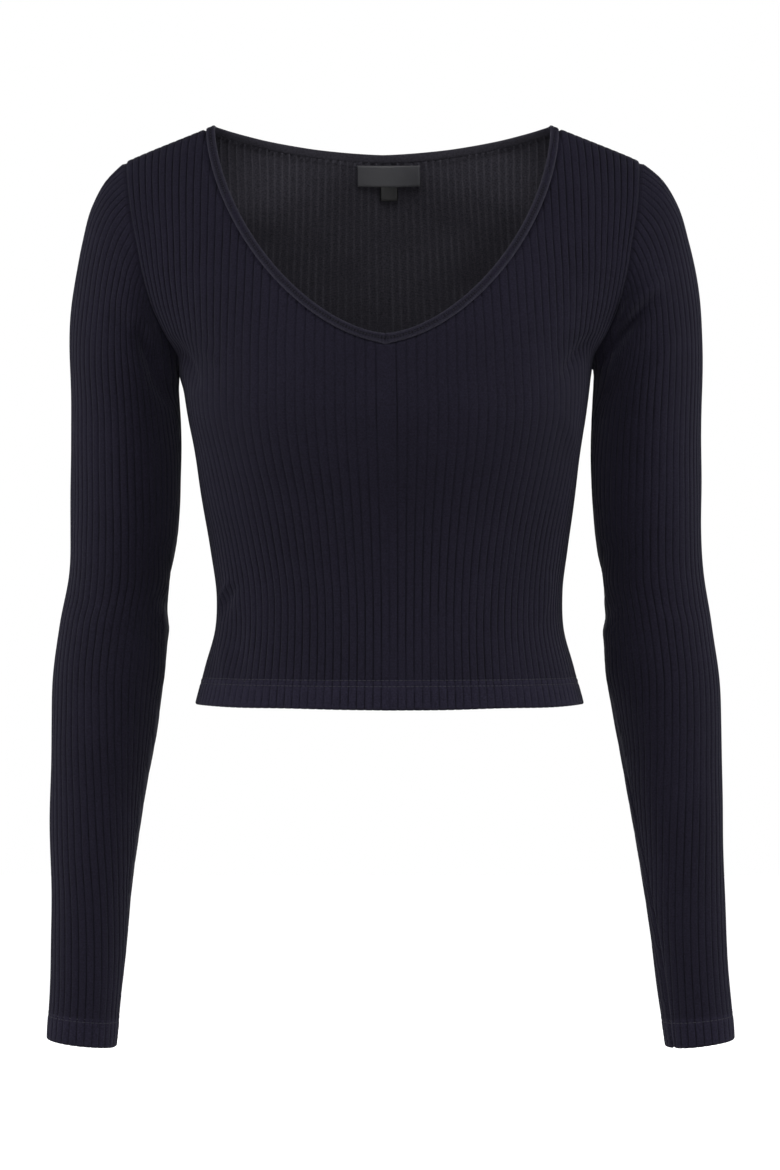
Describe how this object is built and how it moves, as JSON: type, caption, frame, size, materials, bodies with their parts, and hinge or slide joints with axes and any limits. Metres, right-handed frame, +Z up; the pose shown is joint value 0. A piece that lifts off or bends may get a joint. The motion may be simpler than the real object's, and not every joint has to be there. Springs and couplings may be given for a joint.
{
  "type": "cropped rib-knit top",
  "caption": "Cropped rib-knit top with long fitted sleeves, a rounded V neckline with a narrow binding, and a turned hem, filled out as worn and open at neck, hem and cuffs.",
  "frame": {"origin": "on the middle line of the body, midway between the shoulder seams, which cross it 13 mm higher at the neck and 13 mm lower at the armholes: where the wearer's shoulders carry the top", "axes": "+Z up, +X to the right in the picture (the wearer's left), +Y towards the back; the front faces -Y"},
  "size_m": [0.4828, 0.2194, 0.6455],
  "materials": {
    "rib_knit": "fine ribbed knit in near-black navy, matt with a soft sheen at the edges",
    "binding_knit": "plain folded knit binding, near-black navy",
    "label_satin": "woven black satin, bare"
  },
  "bodies": {
    "root": {"front_panel": "rib_knit", "back_panel": "rib_knit", "sleeve_left": "rib_knit", "sleeve_right": "rib_knit", "neck_binding": "binding_knit", "neck_label": "label_satin", "size_tab": "label_satin"}
  },
  "joints": []
}
